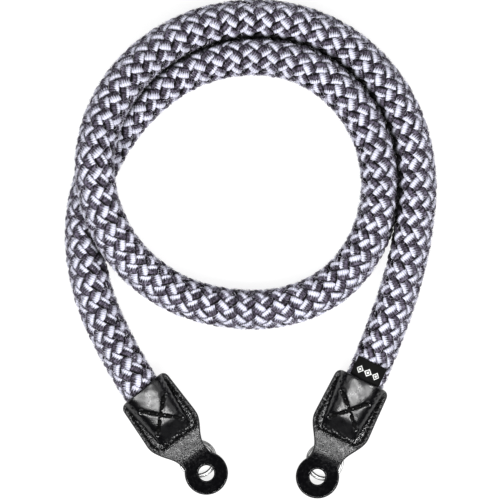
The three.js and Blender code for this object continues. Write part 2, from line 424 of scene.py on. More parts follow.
def press_into_pocket(points, end):
    """Presses what lies inside an end's pocket to the pocket's height and width."""
    local = to_end(points, end)
    s, v, z = np.moveaxis(local, -1, 0)
    blend_end = PATCH_TOP + ROPE_RADIUS
    inside = (s < blend_end) & (np.abs(v) < PATCH_HALF_WIDTH) & (s > 0)
    free = smoothstep(s, PATCH_TOP - 2, blend_end)
    pressed = (pocket_half_height(s) - 2 * GAP) / ROPE_RADIUS
    drawn = pocket_half_width(s) / POCKET_MOUTH_HALF_WIDTH
    plane = seam_plane(s)
    low = plane + (z - plane) * lerp(pressed, 1, free)
    narrow = end["lean"] + (v - end["lean"]) * drawn
    moved = to_world(stacked(s, narrow, low), end)
    return np.where(inside[..., None], moved, points)


# How far across a strand, from its middle and in half widths, its two yarns meet.
YARNS_MEET = {1: 0.0, -1: 0.25}
PALE_EDGE = 0.93  # and how far out the pale one reaches
UNDER_SEAM = 10  # the section's vertex where the two yarns meet underneath
YARN_SHIFT = 61.7  # from one strand's map to the next one's, so that no two look alike
BAKE_ROWS = 9


def strand_section(meet):
    """A strand's section, two yarns side by side: across and out from its middle, in half widths and
    half thicknesses. The last value is the place across for the colours, which goes on underneath."""
    dark, pale = (meet - 1) / 2, (meet + PALE_EDGE) / 2
    dark_half, pale_half = (meet + 1) / 2, (PALE_EDGE - meet) / 2
    above = [
        (-1, -0.35),
        (dark - 0.72 * dark_half, 0.74),
        (dark, 1.25),
        (dark + 0.72 * dark_half, 0.76),
        (meet, 0.3),
        (pale - 0.66 * pale_half, 0.78),
        (pale, 0.98),
        (pale + 0.70 * pale_half, 0.66),
        (1, -0.35),
    ]
    below = [(0.6, -0.8, 1.5), (0, -0.9, 2), (-0.6, -0.8, -1.5)]
    return np.array([(across, out, across) for across, out in above] + below)


def strand_uv(section, along, over, clear, strand):
    """Maps for a strand: yarn, in millimetres along and half widths across; lift, from -1 where it is
    under another to 1 where it is over, with how open its place is; and OFBake, its length folded into
    rows that fill a square."""
    around = len(section)
    rows = BAKE_ROWS
    faces = len(along) - 1
    quads = np.arange(faces)
    yarn, lift, bake = np.zeros((3, faces, around, 4, 2))
    row = quads * rows // faces
    in_row = (quads * rows / faces) % 1
    for i in range(around):
        across = [section[i, 2], section[(i + 1) % around, 2]]
        if i == UNDER_SEAM:
            across[0] = -across[0]
        for corner, (step, side) in enumerate(((0, 0), (0, 1), (1, 1), (1, 0))):
            yarn[:, i, corner, 0] = along[quads + step] + YARN_SHIFT * strand
            yarn[:, i, corner, 1] = across[side]
            # lift carries where the strand dives and how open its place is, which the yarn's colour turns
            # into painted shade
            lift[:, i, corner, 0] = over[quads + step]
            lift[:, i, corner, 1] = clear[quads + step, (i + side) % around]
            bake[:, i, corner, 0] = np.minimum(1, in_row + step * rows / faces)
            bake[:, i, corner, 1] = (row + 0.03 + 0.94 * (i + side) / around) / rows
    caps = np.zeros((2 * around, 2))
    layers = {"yarn": yarn, "lift": lift, "OFBake": bake}
    return {name: np.vstack([values.reshape(-1, 2), caps]) for name, values in layers.items()}


def strand_body(rope, turn, number):
    """One strand, which turns to the right (1) or to the left (-1) as it goes along the rope."""
    phase = 0 if turn == 1 else 1
    lay = math.pi / (CARRIERS * ROW)
    slope = math.atan(lay * BRAID_RADIUS)
    per_pair = 15
    margin = 4
    pairs = math.ceil(rope.length / (2 * ROW)) + 1
    p = np.arange(-per_pair, pairs * per_pair) / per_pair
    rows = 2 * (p - 0.33 * np.sin(TURN * p) / TURN) + phase
    s = rows * ROW
    s = s[(s > margin) & (s < rope.length - margin)]
    over = np.cos(math.pi * (s / ROW - phase))
    swing = STRAND_SWING * np.tanh(1.25 * over) / math.tanh(1.25)
    middle = TURN * number / CARRIERS + turn * lay * s + 0.03 * wander(s, 37) + math.radians(93)
    rise = BRAID_RADIUS + swing + 0.09 * wander(s, 23)
    roll = (0.10 * turn + 0.10 * wander(s, 19))[:, None]
    half_width = (STRAND_WIDTH / 2 * (1 + 0.02 * over + 0.03 * wander(s, 29)))[:, None]
    half_thickness = (STRAND_THICKNESS / 2 * (1 + 0.06 * over + 0.05 * wander(s, 17)))[:, None]
    section = strand_section(YARNS_MEET[turn])
    across, out = half_width * section[:, 0], half_thickness * section[:, 1]
    v = across * np.cos(roll) - out * np.sin(roll)
    h = across * np.sin(roll) + out * np.cos(roll)
    radius = rise[:, None] + h
    at = np.clip(s[:, None] - turn * math.sin(slope) * v, 0, rope.length)
    angle = middle[:, None] + math.cos(slope) * v / radius
    clear = rope.sample(rope.open, at, angle)
    body = Body()
    maps = strand_uv(section, s / math.cos(slope), over, clear, number + CARRIERS * phase)
    body.loft(rope.place(at, angle, radius), maps)
    return body


def core_body(rope):
    around = np.linspace(0, TURN, 20, endpoint=False)
    s, angle = np.meshgrid(np.arange(3, rope.length - 3, 2.5), around, indexing="ij")
    body = Body()
    body.loft(rope.place(s, angle, np.full(s.shape, CORE_RADIUS)))
    return body


def fuzz_body(rope):
    """Loose fibre ends that stand a little off the braid, most of them at its sides, where handling
    frays it. Each is three-sided and closed."""
    t = np.array([0, 0.55, 1])
    start = rng.uniform(8, rope.length - 8, FUZZ_FIBRES)
    around = rng.normal(math.radians(20), math.radians(30), FUZZ_FIBRES)
    around = np.where(rng.random(FUZZ_FIBRES) < 0.5, around, math.pi - around)
    above = rope.place(start, around, np.full(FUZZ_FIBRES, ROPE_RADIUS - 0.6))[:, 2]
    free = (rope.sample(rope.open, start, around) > 0.9) & (above > 1.2)
    start, around = start[free][:, None], around[free][:, None]
    total = len(start)
    way = rng.uniform(0, TURN, (total, 1))
    bend = rng.normal(0, 0.7, (total, 1))
    length = rng.uniform(0.9, 2.6, (total, 1)) * t
    s = start + length * np.cos(way + bend * t)
    angle = around + length * np.sin(way + bend * t) / ROPE_RADIUS
    lift = rng.uniform(0.1, FUZZ_LIFT, (total, 1)) * np.sin(2.2 * t) - 0.35 * (1 - t)
    radius = ROPE_RADIUS - 0.15 + lift
    line = rope.place(s, angle, radius)
    out = unit(rope.place(s, angle, radius + 0.5) - line)
    ahead = unit(np.gradient(line, axis=1))
    side = unit(np.cross(ahead, out))
    cos, sin = circle(np.radians([90, 210, 330])).T[:, :, None]
    thick = (FUZZ_THICKNESS / 2 * np.array([1, 0.9, 0.4]))[:, None, None]
    points = line[:, :, None] + thick * (cos * side[..., None, :] + sin * out[..., None, :])
    here = np.arange(3)
    after = np.roll(here, -1)
    ring = 3 * np.arange(2)[:, None]
    quads = stacked(ring + here, ring + 3 + here, ring + 3 + after, ring + after)
    first = 9 * np.arange(total)[:, None, None]
    quads = quads.reshape(1, -1, 4) + first
    caps = np.array([[0, 1, 2], [8, 7, 6]]) + first
    columns = math.ceil(math.sqrt(total))
    cell = stacked(np.arange(total) % columns, np.arange(total) // columns)[:, None]
    low = stacked(*np.meshgrid([0, 1 / 2], [0, 1 / 3, 2 / 3], indexing="ij")).reshape(-1, 1, 2)
    square = (low + np.array([[0, 0], [1 / 2, 0], [1 / 2, 1 / 3], [0, 1 / 3]])).reshape(1, -1, 2)
    quad_uv = (cell + 0.1 + 0.8 * square) / columns
    cap_uv = np.repeat((cell + 0.5) / columns, 6, axis=1)
    body = Body()
    body.add(
        points.reshape(-1, 3),
        quads.reshape(-1, 4).tolist() + caps.reshape(-1, 3).tolist(),
        {"OFBake": np.vstack([quad_uv.reshape(-1, 2), cap_uv.reshape(-1, 2)])},
    )
    return body


# -------- materials


def grey(value, tint=0.0):
    return (value, value * (1 - tint), value * (1 + tint), 1)


class Look:
    """A material with one Principled shader, and short ways to add nodes to it. A keyword names a socket
    of the shader, with _ for a space."""

    def __init__(self, name, **sockets):
        self.material = bpy.data.materials.new(name)
        self.material.use_nodes = True
        self.tree = self.material.node_tree
        self.tree.nodes.clear()
        self.shader = self.node("BsdfPrincipled")
        self.node("OutputMaterial", {0: self.shader.outputs[0]})
        self.set(**sockets)

    def fill(self, socket, value):
        if isinstance(value, bpy.types.NodeSocket):
            self.tree.links.new(value, socket)
        else:
            socket.default_value = value

    def set(self, **sockets):
        for key, value in sockets.items():
            self.fill(self.shader.inputs[key.replace("_", " ")], value)

    def node(self, kind, inputs=None, **settings):
        made = self.tree.nodes.new("ShaderNode" + kind)
        for key, value in settings.items():
            setattr(made, key, value)
        for key, value in (inputs or {}).items():
            self.fill(made.inputs[key], value)
        return made

    def uv(self, layer):
        return self.node("UVMap", uv_map=layer).outputs[0]

    def place(self):
        return self.node("TexCoord").outputs["Object"]

    def parts(self, vector):
        return self.node("SeparateXYZ", {0: vector}).outputs[:2]

    def math(self, operation, *values):
        return self.node("Math", dict(enumerate(values)), operation=operation).outputs[0]

    def times(self, a, b):
        return self.math("MULTIPLY", a, b)

    def times_add(self, a, b, c):
        return self.math("MULTIPLY_ADD", a, b, c)

    def size_of(self, value):
        return self.math("ABSOLUTE", value)

    def ramp(self, value, low, high, to_low=0.0, to_high=1.0):
        inputs = dict(enumerate((value, low, high, to_low, to_high)))
        return self.node("MapRange", inputs, interpolation_type="SMOOTHSTEP").outputs[0]

    def mix(self, share, a, b):
        return self.node("Mix", {0: share, 6: a, 7: b}, data_type="RGBA").outputs[2]

    def dimmed(self, colour, share):
        return self.node("HueSaturation", {"Value": share, "Color": colour}).outputs[0]

    def noise(self, vector, scale, detail=2.0, roughness=0.5):
        inputs = {"Vector": vector, "Scale": scale, "Detail": detail, "Roughness": roughness}
        return self.node("TexNoise", inputs).outputs[0]

    def bump(self, height, distance, strength=1.0):
        """Distance is in millimetres, for a height of 1."""
        inputs = {"Height": height, "Distance": distance * MM, "Strength": strength}
        self.set(Normal=self.node("Bump", inputs).outputs[0])


def yarn_material(meet):
    """Charcoal and white yarns side by side, which meet so far across the strand."""
    look = Look(
        "two_tone_yarn",
        Roughness=0.5,
        Specular_IOR_Level=0.16,
        Sheen_Weight=0.6,
        Sheen_Roughness=0.25,
    )
    along, across = look.parts(look.uv("yarn"))
    lift, clear = look.parts(look.uv("lift"))

    # Filaments lie nearly across the strand, so everything is stretched that way.
    def stretched(per_mm, per_half_width):
        x, y = look.times(along, per_mm), look.times(across, per_half_width)
        return look.node("CombineXYZ", {0: x, 1: y}).outputs[0]

    def off_from(middle, half):
        away = look.size_of(look.math("SUBTRACT", across, middle))
        return look.math("DIVIDE", away, half)

    streak = look.noise(stretched(3.4, 1.3), 1, 3, 0.6)
    clump = look.noise(stretched(0.8, 0.8), 1, 2)
    lean = look.times_add(clump, 6, look.times(across, 1.6))
    phase = look.times_add(along, TURN / 1.08, lean)
    rib = look.times_add(look.math("SINE", phase), 0.5, 0.5)
    ragged = look.times_add(streak, 0.5, look.times(rib, 0.22))
    blotch = look.noise(stretched(0.55, 0.3), 1, 1)
    ragged = look.times_add(blotch, 0.5, ragged)
    edge = look.math("SUBTRACT", look.math("ADD", across, ragged), 0.51 + meet)
    white = look.ramp(edge, -0.22, 0.22)
    outer = look.times_add(ragged, -0.5, across)
    white = look.times(white, look.ramp(outer, PALE_EDGE - 0.2, PALE_EDGE - 0.38))

    # Painted shade: a yarn is painted palest along its middle and darker towards its sides, and darkest where
    # it dives under another strand or another pass of the rope presses it.
    ply = look.noise(stretched(0.7, 6), 1, 1)
    up = look.times_add(ply, 1.1, lift)
    painted_dive_shade = look.ramp(up, 0, 0.7, 0.1, 1)
    painted_pale_dive_shade = look.ramp(up, -0.4, 0.15, 0.3, 1)
    lit = look.ramp(look.times_add(rib, 0.55, streak), 0.3, 1)
    # painted shade: the pale yarn is painted darker towards its sides, as a round yarn is shaded
    lit = look.times(lit, look.ramp(off_from((meet + PALE_EDGE) / 2, 0.5), 0.3, 1.1, 1, 0.3))
    pale = look.mix(lit, (0.38, 0.38, 0.45, 1), (0.63, 0.63, 0.72, 1))
    fleck = look.noise(stretched(0.9, 1.3), 1, 4, 0.8)
    fleck = look.ramp(look.times_add(rib, 0.06, fleck), 0.4, 0.7)
    # painted shade: the dark yarn is painted lighter along its middle and near black at its sides
    body = look.ramp(off_from((meet - 1) / 2, (meet + 1) / 2), 0.25, 0.85, 1, 0.05)
    dark = look.mix(look.times(body, fleck), (0.008, 0.005, 0.008, 1), (0.18, 0.16, 0.215, 1))
    tone = look.mix(white, look.dimmed(dark, painted_dive_shade), look.dimmed(pale, painted_pale_dive_shade))
    # painted shade: each strand is painted darker towards its edges, where neighbouring strands shade it
    rim = look.ramp(look.size_of(across), 0.74, 0.96, 1, 0.08)
    # painted shade where another pass of the rope lies close
    painted_contact_shade = look.ramp(clear, 0.05, 0.95, 0.03, 1)
    dust = look.ramp(look.noise(look.place(), 45), 0.3, 0.7, 0.88, 1)
    look.set(Base_Color=look.dimmed(tone, look.times(look.times(rim, painted_contact_shade), dust)))
    look.bump(look.times_add(streak, 1.2, rib), 0.07, 0.9)
    return look


def fuzz_material():
    look = Look("loose_fibres", Roughness=0.6, Specular_IOR_Level=0.2)
    shade = look.ramp(look.noise(look.place(), 260), 0.4, 0.6)
    look.set(Base_Color=look.mix(shade, (0.3, 0.29, 0.34, 1), (0.78, 0.77, 0.85, 1)))
    return look


def core_material():
    look = Look("dark_core", Roughness=0.95)
    speck = look.noise(look.place(), 900, 3)
    look.set(Base_Color=look.mix(speck, grey(0.004), grey(0.03, 0.1)))
    look.bump(speck, 0.1)
    return look


def leather_material():
    """Polished over the rope, grained on the neck, the disc and the sewn borders."""
    look = Look("black_leather", Specular_IOR_Level=0.75)
    uv = look.uv("hide")
    along, side = look.parts(uv)
    side = look.size_of(side)
    from_edge, from_cross = look.parts(look.uv("near"))
    bare = look.ramp(along, 25, 20)
    border = look.ramp(side, 9.8, 12)
    grained = look.math("MAXIMUM", bare, border)
    disc = look.ramp(along, 16, 5)
    cloudy = look.noise(uv, 0.22, 3, 0.6)
    grain = look.noise(uv, 1.9, 4, 0.7)
    cells = look.node("TexVoronoi", {"Vector": uv, "Scale": 1.5}, feature="DISTANCE_TO_EDGE").outputs[0]
    look.set(Base_Color=look.mix(grain, (0.001, 0.001, 0.0013, 1), (0.0055, 0.0055, 0.007, 1)))
    cut = look.ramp(from_edge, 0.8, 0.35)
    sewn = look.ramp(from_cross, 1.3, 0.6)
    polish = look.ramp(cloudy, 0.3, 0.7, 0.26, 0.34)
    rough = look.times_add(border, 0.06, polish)
    flank = look.times(look.ramp(side, 5.5, 8.5), look.ramp(grained, 1, 0))
    rough = look.times_add(flank, -0.12, rough)
    rough = look.times_add(disc, -0.16, rough)
    rough = look.times_add(look.math("MAXIMUM", cut, sewn), -0.12, rough)
    worn = look.ramp(look.noise(uv, 0.6, 3, 0.65), 0.38, 0.62, -0.08, 0.05)
    look.set(Roughness=look.times_add(bare, worn, rough))
    relief = look.times_add(look.ramp(cells, 0, 0.22), 0.6, grain)
    neck = look.times(look.ramp(along, 9, 15), look.ramp(along, 24, 21))
    coarse = look.math("MAXIMUM", neck, border)
    relief = look.times(relief, look.ramp(coarse, 0, 1, 0.3, 1))
    drawn = look.node("Mapping", {"Vector": uv, "Scale": (2.4, 0.42, 1)}).outputs[0]
    crease = look.ramp(look.noise(drawn, 1, 2), 0.6, 0.66)
    bend = look.times(look.ramp(along, 10, 12), look.ramp(along, 18, 15))
    look.bump(look.times_add(look.times(crease, bend), -1.2, relief), 0.075, 0.9)
    return look


def thread_material():
    look = Look("waxed_thread", Roughness=0.6, Specular_IOR_Level=0.15)
    inputs = {"Vector": look.place(), "Scale": 900, "Distortion": 2.0}
    twist = look.node("TexWave", inputs).outputs[1]
    look.set(Base_Color=look.mix(twist, grey(0.001), grey(0.006)))
    look.bump(twist, 0.06)
    return look


def steel_material():
    """Bright on the wire's flat faces, with painted dark reflections along its edges."""
    look = Look("nickel_steel", Metallic=1)
    scratches = look.noise(look.place(), 1400, 3, 0.6)
    across = look.parts(look.uv("band"))[0]
    # painted reflection: the wire's edges are painted near black
    painted_dark_edges = look.ramp(look.size_of(across), 0.6, 0.9)
    bright = look.mix(scratches, grey(0.3), grey(0.42))
    look.set(Base_Color=look.mix(painted_dark_edges, bright, grey(0.02)))
    look.set(Roughness=look.ramp(scratches, 0.3, 0.7, 0.32, 0.44))
    look.bump(scratches, 0.01)
    return look


def label_material():
    """Black ribbon with a row of white woven diamonds."""
    look = Look("woven_ribbon", Roughness=0.8, Specular_IOR_Level=0.1)
    x, y = look.parts(look.uv("weave"))
    warp = look.math("SINE", look.times(x, TURN / 0.34))
    weft = look.math("SINE", look.times(y, TURN / 0.3))
    weave = look.times_add(look.times(warp, weft), 0.5, 0.5)
    repeat = look.math("PINGPONG", look.math("ADD", x, 4.4), 2.2)
    far = look.math("ADD", repeat, look.size_of(y))
    ragged = look.times_add(weave, 0.16, far)
    ring = look.math("SUBTRACT", look.ramp(ragged, 1.4, 1.5), look.ramp(ragged, 2.1, 2.2))
    solid = look.math("SUBTRACT", 1, look.ramp(ragged, 0.85, 0.95))
    row = look.ramp(look.size_of(x), 6.7, 6.6)
    motif = look.times(look.math("MAXIMUM", ring, solid), row)
    white = look.mix(weave, grey(0.45, -0.02), grey(0.78))
    black = look.mix(weave, grey(0.003), grey(0.018))
    look.set(Base_Color=look.mix(motif, black, white))
    look.bump(weave, 0.06)
    return look


def floor_material():
    look = Look("pale_floor", Roughness=0.9, Specular_IOR_Level=0.1, Base_Color=grey(0.15))
    look.set(Emission_Color=grey(1), Emission_Strength=0.87)
    return look


# -------- leather ends


def end_outline(start, end):
    """The closed outline of a leather end from start to its mouth, anticlockwise. With start 0, the neck
    runs on into the disc."""
    lean = end["lean"]
    joined = math.sqrt(DISC_RADIUS**2 - NECK_HALF_WIDTH**2)
    first = start or joined
    corner = PATCH_TOP - CORNER_RADIUS
    bend = np.sin(np.linspace(0, math.pi / 2, 9)[1:])
    s = np.concatenate([np.linspace(first, corner, 90), corner + CORNER_RADIUS * bend])
    half, centre = outline_half_width(s), centre_line(s, lean)
    shoulder = bell(s - 19.5, 7) * smoothstep(s, first, first + 3)
    right = stacked(s, centre - half - end["fuller"][1] * shoulder)
    left = stacked(s, centre + half + end["fuller"][0] * shoulder)[::-1]
    line = [right, left]
    if not start:
        open_half = math.atan2(NECK_HALF_WIDTH, joined)
        angle = np.linspace(open_half, TURN - open_half, 120)[1:-1]
        line.append(DISC_RADIUS * circle(angle))
    line = np.vstack([*line, right[:1]])
    mouth = smoothstep(line[:, 0], 38, 48) * (end["mouth_on"] + end["mouth_skew"] * (line[:, 1] - lean))
    line[:, 0] += mouth
    return rounded_loop(line, 0.45, 1.2)


def rounded_loop(line, step, reach):
    """A closed line with even steps, its corners softened. Its first point isn't repeated."""
    line = respaced(line, step)[:-1]
    width = 4 * math.ceil(reach / step)
    return averaged(np.vstack([line[-width:], line, line[:width]]), reach / (2 * step), width)


def inset(loop, distance):
    """The loop moved to its left, into the material of an anticlockwise outline."""
    ahead = unit(np.roll(loop, -1, 0) - np.roll(loop, 1, 0))
    return loop + distance * stacked(-ahead[:, 1], ahead[:, 0])


def inside_loop(points, loop):
    x, y = points.T[:, :, None]
    ax, ay = loop.T[:, None, :]
    bx, by = np.roll(loop, -1, 0).T[:, None, :]
    crosses = (ay > y) != (by > y)
    at = ax + (y - ay) / np.where(by == ay, 1e-9, by - ay) * (bx - ax)
    return (crosses & (x < at)).sum(1) % 2 == 1


def nearest(points, line):
    """How far each point is from the line's points."""
    best = np.full(len(points), np.inf)
    for start in range(0, len(line), 64):
        part = line[start : start + 64]
        away = np.linalg.norm(points[:, None] - part[None], axis=2)
        best = np.minimum(best, away.min(1))
    return best


EDGE_RINGS = (0, 0.56, 0.66, 0.9)
EDGE_ROUND = 0.61
EDGE_SLOPE = 0.85
FAR_FROM_MARKS = 5.0  # the map near goes no higher
ON_BORDER = 40  # moves the loop's map sideways, where the leather's material is a grained border


def triangulated(loops, spacing, rings):
    """A flat mesh that fills loops[0] around the other loops, which run clockwise. Gives its points, its
    triangles and, for each loop, the indices of its points."""
    edge = [inset(loop, distance) for loop in loops for distance in rings]
    low, high = loops[0].min(0), loops[0].max(0)
    row_height = spacing * math.sqrt(3) / 2
    rows = np.arange(low[1], high[1], row_height)
    columns = np.arange(low[0], high[0], spacing)
    x, y = np.meshgrid(columns, rows)
    x = x + (np.arange(len(rows)) % 2)[:, None] * spacing / 2
    grid = stacked(x.ravel(), y.ravel())
    keep = inside_loop(grid, loops[0])
    for hole in loops[1:]:
        keep &= ~inside_loop(grid, hole)
    grid = grid[keep]
    clear = nearest(grid, np.vstack(loops))
    grid = grid[clear > rings[-1] + 0.6 * spacing]
    points = np.vstack([*edge, grid])
    bounds, start = [], 0
    for loop in loops:
        bounds.append(start + np.arange(len(loop)))
        start += len(rings) * len(loop)
    constraints = [(int(a), int(b)) for here in bounds for a, b in zip(here, np.roll(here, -1))]
    # Output 1 is the triangles inside the constraints.
    found = delaunay_2d_cdt(points.tolist(), constraints, [], 1, 1e-6)
    flat, triangles = np.array(found[0]), np.array(found[2])
    middles = flat[triangles].mean(1)
    keep = np.ones(len(triangles), bool)
    for hole in loops[1:]:
        keep &= ~inside_loop(middles, hole)
    new_index = np.zeros(len(points), int)
    for new, olds in enumerate(found[3]):
        new_index[olds] = new
    return flat, triangles[keep], [new_index[here] for here in bounds]


def hide_body(end, loops, top, bottom, spacing):
    """A closed shell over an outline with holes, its edges rounded. top and bottom give heights for
    points in the end's frame. Its map near has the distances from the edges and from the cross."""
    upper = triangulated(loops, spacing, EDGE_RINGS)
    lower = triangulated(loops, 2.6 * spacing, EDGE_RINGS)
    edges = np.vstack(loops)
    sides = []
    for (flat, *_), height, way in ((upper, top, -1), (lower, bottom, 1)):
        into = np.minimum(nearest(flat, edges) / EDGE_ROUND, 1)
        drop = EDGE_SLOPE * EDGE_ROUND * soft_ramp(1 - into, 0.02)
        sides.append(np.column_stack([flat, height(flat) + way * drop]))
    offset = len(upper[0])
    faces = upper[1].tolist() + (lower[1][:, ::-1] + offset).tolist()
    for above, below in zip(upper[2], lower[2]):
        below = below + offset
        after_above, after_below = np.roll(above, -1), np.roll(below, -1)
        faces += stacked(below, after_below, after_above, above).tolist()
    points = np.vstack(sides)
    corners = np.concatenate([np.array(face) for face in faces])
    near = stacked(nearest(points[:, :2], edges), nearest(points[:, :2], np.vstack(cross_lines(end["lean"]))))
    near = np.minimum(near, FAR_FROM_MARKS)
    body = Body()
    body.add(to_world(points, end), faces, {"hide": points[corners, :2], "near": near[corners]})
    return body


def seam_line(lean):
    """The row of stitches: down the left side, across the neck and up the right side."""
    s = np.linspace(SEAM_TOP, SEAM_ACROSS, 60)
    half = outline_half_width(s) - SEAM_INSET
    left = stacked(s, centre_line(s, lean) + half)
    right = stacked(s, centre_line(s, lean) - half)[::-1]
    line = respaced(np.vstack([left, right]), 0.3)
    return softened(line, 4)


def cross_lines(lean):
    reach = CROSS_HALF * np.linspace(-1, 1, 60)
    return [stacked(CROSS_CENTRE + reach, lean + side * reach) for side in (1, -1)]


class FrontSurface:
    """A front leather's two sides: the model's shape with the marks that sewing leaves in it."""

    def __init__(self, end):
        self.lean = lean = end["lean"]
        self.inner = end["inner"]
        self.seam = seam_line(lean)
        self.cross = cross_lines(lean)
        self.cross_ends = np.array([line[i] for line in self.cross for i in (0, -1)])
        self.seam_holes = respaced(self.seam, SEAM_PITCH)

    def under(self, flat):
        s, v = flat.T
        x = np.minimum(1, np.abs(v - centre_line(s, self.lean)) / pocket_half_width(s))
        to_mouth = smoothstep(s, 38, 51)
        rounded = (1 - x**2.7) ** lerp(0.62, 0.58, to_mouth)
        return seam_plane(s) + GAP / 2 + pocket_rise(s) * rounded

    def neck_rise(self, s, v):
        """How far the neck's top is above the disc: it rises ever faster, and it droops outwards."""
        inward = np.clip(self.inner * (v - self.lean) / NECK_HALF_WIDTH, -1, 1)
        start = 12 + inward
        end = seam_plane(np.array([SEAM_ACROSS]))[0] - DISC_PLANE
        droop = 0.5 * np.minimum(inward, 0) ** 2 * smoothstep(s, 10, 15)
        return end / (SEAM_ACROSS - start) * soft_ramp(s - start, 3) - droop

    def over(self, flat):
        s, v = flat.T
        height = self.under(flat) + FRONT_THICKNESS
        thinner = self.neck_rise(s, v) - (seam_plane(s) - DISC_PLANE)
        height += thinner * smoothstep(s, SEAM_ACROSS + 0.5, SEAM_ACROSS - 1.5)
        seam_away = nearest(flat, self.seam)
        height -= 0.16 * bell(seam_away, 0.5)
        height -= 0.5 * bell(nearest(flat, self.seam_holes), 0.6)
        pull = np.zeros(len(flat))
        for line in self.cross:
            away = nearest(flat, line)
            pull = np.maximum(pull, 0.45 * bell(away, 0.8) + 0.12 * bell(away, 2.4))
        height -= pull + 0.8 * bell(nearest(flat, self.cross_ends), 1.1)
        puckers = np.cos(TURN * v / SEAM_PITCH) * bell(s - SEAM_ACROSS - 1.7, 1.4)
        height += 0.12 * puckers * smoothstep(-np.abs(v - self.lean), -10, -7)
        pebbles = sum(
            np.sin(TURN * (s * math.cos(turn) + v * math.sin(turn)) / length + turn * 9)
            for turn, length in ((0.3, 2.9), (1.4, 2.3), (2.2, 1.9), (2.9, 1.6), (0.9, 1.35))
        )
        patch = smoothstep(s, 19, 21.5)
        height += 0.14 * pebbles * bell(seam_away, 2.6) * patch
        waves = np.sin(0.9 * s + 0.7 * v + 1.3) + np.sin(1.3 * s - 0.8 * v)
        return height + 0.03 * waves * smoothstep(s, 12, 20)


def front_body(name):
    end = ENDS[name]
    surface = FrontSurface(end)
    angle = np.linspace(0, -TURN, 96, endpoint=False)
    loops = [end_outline(0, end), DISC_HOLE_RADIUS * circle(angle)]
    return hide_body(end, loops, surface.over, surface.under, 0.42), surface


def back_surfaces(lean):
    def over(flat):
        s, v = flat.T
        return seam_plane(s) - GAP / 2 - bulge(s, v - centre_line(s, lean))

    def under(flat):
        seam = 0.2 * bell(nearest(flat, seam_line(lean)), 0.5)
        return np.maximum(over(flat) - BACK_THICKNESS + seam, 0.05)

    return over, under


def strip(path, half_width, thickness):
    """A leather strip with rounded edges along a path of s and z."""
    side = np.array([-1, -0.97, -0.9, 0.9, 0.97, 1, 1, 0.97, 0.9, -0.9, -0.97, -1])
    out = np.array([0.25, 0.42, 0.5, 0.5, 0.42, 0.25, -0.25, -0.42, -0.5, -0.5, -0.42, -0.25])
    ahead = unit(np.gradient(path, axis=0))
    across = stacked(-ahead[:, 1], ahead[:, 0])
    flat = path[:, None] + thickness * out[None, :, None] * across[:, None]
    v = np.broadcast_to(-side * half_width, flat.shape[:2])
    return stacked(flat[..., 0], v, flat[..., 1])


def loop_rings():
    """The folded strip that holds the ring: back along the top, round the fold and under."""
    half = LOOP_WALL / 2
    fold = LOOP_TOP / 2
    centre = LOOP_EYE_START - LOOP_WALL + fold
    radius = fold - half
    angle = np.linspace(math.pi / 2, 3 * math.pi / 2, 24)
    bend = [centre, fold] + radius * circle(angle)
    top = stacked(np.linspace(LOOP_ROOT, centre, 16)[:-1], np.full(15, LOOP_TOP - half))
    tail = np.array([[LOOP_EYE_END - 0.4, half], [LOOP_EYE_END + 1.2, half + 1.3], [LOOP_ROOT, 4.4]])
    line = respaced(np.vstack([top, bend, tail]), 0.4)
    return strip(softened(line, 2), LOOP_HALF_WIDTH, LOOP_WALL)


def back_body(name):
    end = ENDS[name]
    over, under = back_surfaces(end["lean"])
    body = hide_body(end, [end_outline(BACK_START, end)], over, under, 0.7)
    rings = loop_rings()
    after = np.roll(rings, -1, axis=1)
    quads = np.stack([rings[:-1], after[:-1], after[1:], rings[1:]], axis=2)
    corners = np.vstack([quads.reshape(-1, 3), rings[0, ::-1], rings[-1]])
    near = np.full((len(corners), 2), FAR_FROM_MARKS)
    body.loft(to_world(rings, end), {"hide": corners[:, :2] + [0, ON_BORDER], "near": near})
    return body


def tube_rings(centres, radii):
    ahead = unit(np.gradient(centres, axis=0))
    side = unit(np.cross(ahead, [0, 0, 1]))
    up = np.cross(ahead, side)
    cos, sin = circle(np.linspace(0, TURN, 8, endpoint=False)).T[:, :, None]
    return centres[:, None] + radii[:, None, None] * (cos * side[:, None] + sin * up[:, None])


def add_stitches(body, line, height, end, pitch, radius, fill, facing):
    """Stitches along a line in an end's frame, on the side that faces up (1) or down (-1). Each one fills
    its share of the pitch and dips into the leather at both ends."""
    along = lengths_along(line)
    count = round(along[-1] / pitch)
    step = along[-1] / count
    t = np.linspace(0, 1, 11)
    for i in range(count):
        at = (i + 0.5 + fill * (t - 0.5)) * step
        flat = at_lengths(line, along, at) + rng.normal(0, 0.03, 2)
        arch = np.sin(math.pi * t) ** 0.5
        z = np.maximum(height(flat) + facing * radius * (1.15 * arch - 0.75), radius + 0.02)
        radii = radius * np.clip(np.sin(math.pi * np.clip(t, 0.04, 0.96)), 0.05, 1) ** 0.4
        body.loft(to_world(tube_rings(np.column_stack([flat, z]), radii), end))


def add_knot(body, spot, height, end):
    """The thread's end, a flat round knot at the bottom of its hole."""
    centre = np.array([*spot, height(spot[None])[0] + 0.02])
    angle = np.linspace(0, TURN, 14, endpoint=False)
    rings = [
        centre + np.column_stack([radius * circle(angle), np.full(len(angle), up)])
        for up, radius in ((-0.3, 0.6), (-0.05, 1.0), (0.1, 0.92), (0.14, 0.7))
    ]
    body.loft(to_world(np.array(rings), end))


def stitching_body(name, surface):
    end = ENDS[name]
    body = Body()
    back = back_surfaces(end["lean"])[1]
    for height, facing in ((surface.over, 1), (back, -1)):
        add_stitches(body, surface.seam, height, end, SEAM_PITCH, SEAM_THREAD, SEAM_FILL, facing)
        for line in surface.cross:
            add_stitches(body, line, height, end, CROSS_PITCH, CROSS_THREAD, CROSS_FILL, facing)
    for spot in surface.cross_ends:
        add_knot(body, spot, surface.over, end)
    return body


# -------- rings and label


